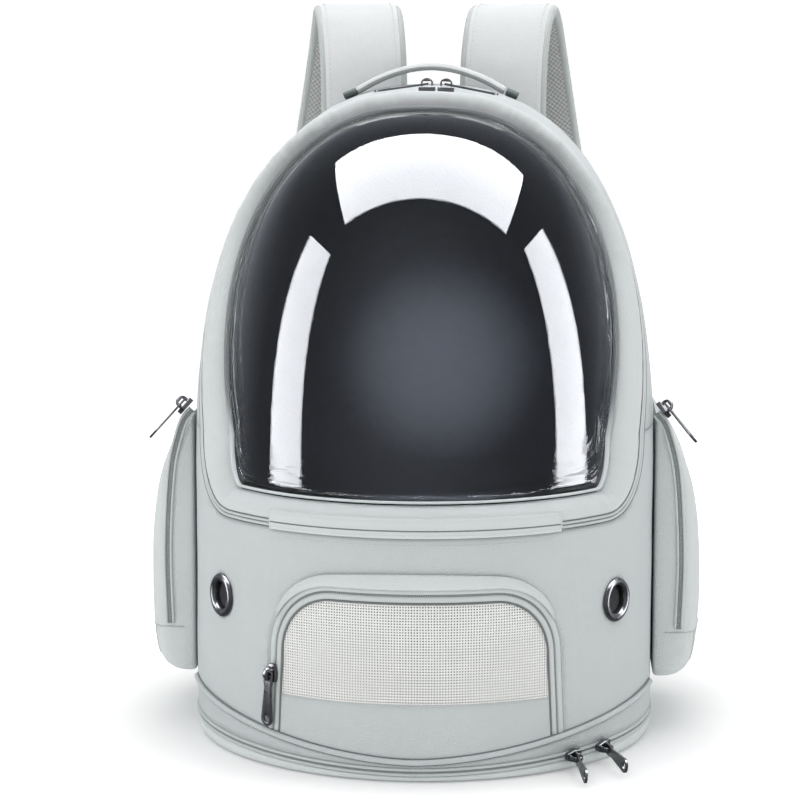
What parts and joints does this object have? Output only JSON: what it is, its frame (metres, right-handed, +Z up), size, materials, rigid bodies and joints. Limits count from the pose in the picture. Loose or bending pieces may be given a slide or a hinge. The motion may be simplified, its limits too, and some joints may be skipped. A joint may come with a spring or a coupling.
{
  "type": "pet carrier backpack",
  "caption": "Soft-sided carrier backpack with a clear domed front hatch, a mesh door, side pockets, padded shoulder straps and a zipped base.",
  "frame": {"origin": "on the floor under the middle of the base", "axes": "+Z up, the window and the door face -Y, the straps are at +Y, +X is to the right as seen from the front"},
  "size_m": [0.363, 0.3491, 0.4748],
  "materials": {
    "cloth": "pale grey coated oxford weave",
    "strap_cloth": "pale grey padded weave",
    "trim": "grey zip tape and piping",
    "net": "off-white open net",
    "dark_cloth": "matt charcoal",
    "dark_trim": "matt dark green-black webbing",
    "clear": "clear glossy dome",
    "plastic": "moulded grey",
    "gunmetal": "glossy gunmetal plating"
  },
  "bodies": {
    "carrier": {"front_panel": "cloth", "gusset": "cloth", "back_panel": "strap_cloth", "lining": "dark_cloth", "base": "cloth", "base_zip": "trim", "base_piping": "trim", "hatch_band": "cloth", "hatch_piping": "trim", "hatch_zip": "trim", "window": "clear", "hinge_flap": "cloth", "door_net": "net", "door_panel": "cloth", "door_zip": "trim", "door_hood": "cloth", "eyelet_left": "gunmetal", "vent_mesh_left": "dark_cloth", "pocket_left": "cloth", "pocket_zip_left": "trim", "strap_left": "strap_cloth", "web_left": "strap_cloth", "adjuster_left": "plastic", "handle_end_left": "dark_trim", "hatch_left_slider": "gunmetal", "pocket_left_slider": "gunmetal", "eyelet_right": "gunmetal", "vent_mesh_right": "dark_cloth", "pocket_right": "cloth", "pocket_zip_right": "trim", "strap_right": "strap_cloth", "web_right": "strap_cloth", "adjuster_right": "plastic", "handle_end_right": "dark_trim", "hatch_right_slider": "gunmetal", "pocket_right_slider": "gunmetal", "handle": "strap_cloth", "door_slider": "gunmetal", "base_first_slider": "gunmetal", "base_second_slider": "gunmetal"},
    "hatch_left_pull": {"hatch_left_pull": "gunmetal"},
    "hatch_right_pull": {"hatch_right_pull": "gunmetal"},
    "door_pull": {"door_pull": "gunmetal"},
    "pocket_left_pull": {"pocket_left_pull": "gunmetal"},
    "pocket_right_pull": {"pocket_right_pull": "gunmetal"},
    "base_first_pull": {"base_first_pull": "gunmetal"},
    "base_second_pull": {"base_second_pull": "gunmetal"}
  },
  "joints": [
    {"name": "hatch_left_pull_flip", "type": "hinge", "parent": "carrier", "child": "hatch_left_pull", "pos_m": [-0.0002, 0.051, 0.4217], "axis": [0, 1, 0], "range_deg": [0, 103]},
    {"name": "hatch_right_pull_flip", "type": "hinge", "parent": "carrier", "child": "hatch_right_pull", "pos_m": [0.01246, 0.051, 0.42145], "axis": [0, -1, 0], "range_deg": [0, 103]},
    {"name": "door_pull_flip", "type": "hinge", "parent": "carrier", "child": "door_pull", "pos_m": [-0.09097, -0.10636, 0.062], "axis": [-0.8055, 0.5799, 0.1219], "range_deg": [0, 170]},
    {"name": "pocket_left_pull_flip", "type": "hinge", "parent": "carrier", "child": "pocket_left_pull", "pos_m": [-0.15774, 0.0017, 0.21605], "axis": [-0.439, 0.7547, -0.4876], "range_deg": [0, 130]},
    {"name": "pocket_right_pull_flip", "type": "hinge", "parent": "carrier", "child": "pocket_right_pull", "pos_m": [0.15774, 0.0017, 0.21605], "axis": [-0.439, -0.7547, 0.4876], "range_deg": [0, 130]},
    {"name": "base_first_pull_flip", "type": "hinge", "parent": "carrier", "child": "base_first_pull", "pos_m": [0.10032, -0.09955, 0.00928], "axis": [-0.0783, 0.0934, -0.9925], "range_deg": [-40, 52]},
    {"name": "base_second_pull_flip", "type": "hinge", "parent": "carrier", "child": "base_second_pull", "pos_m": [0.11955, -0.08031, 0.01038], "axis": [-0.0934, 0.0783, -0.9925], "range_deg": [-112, 8]}
  ]
}
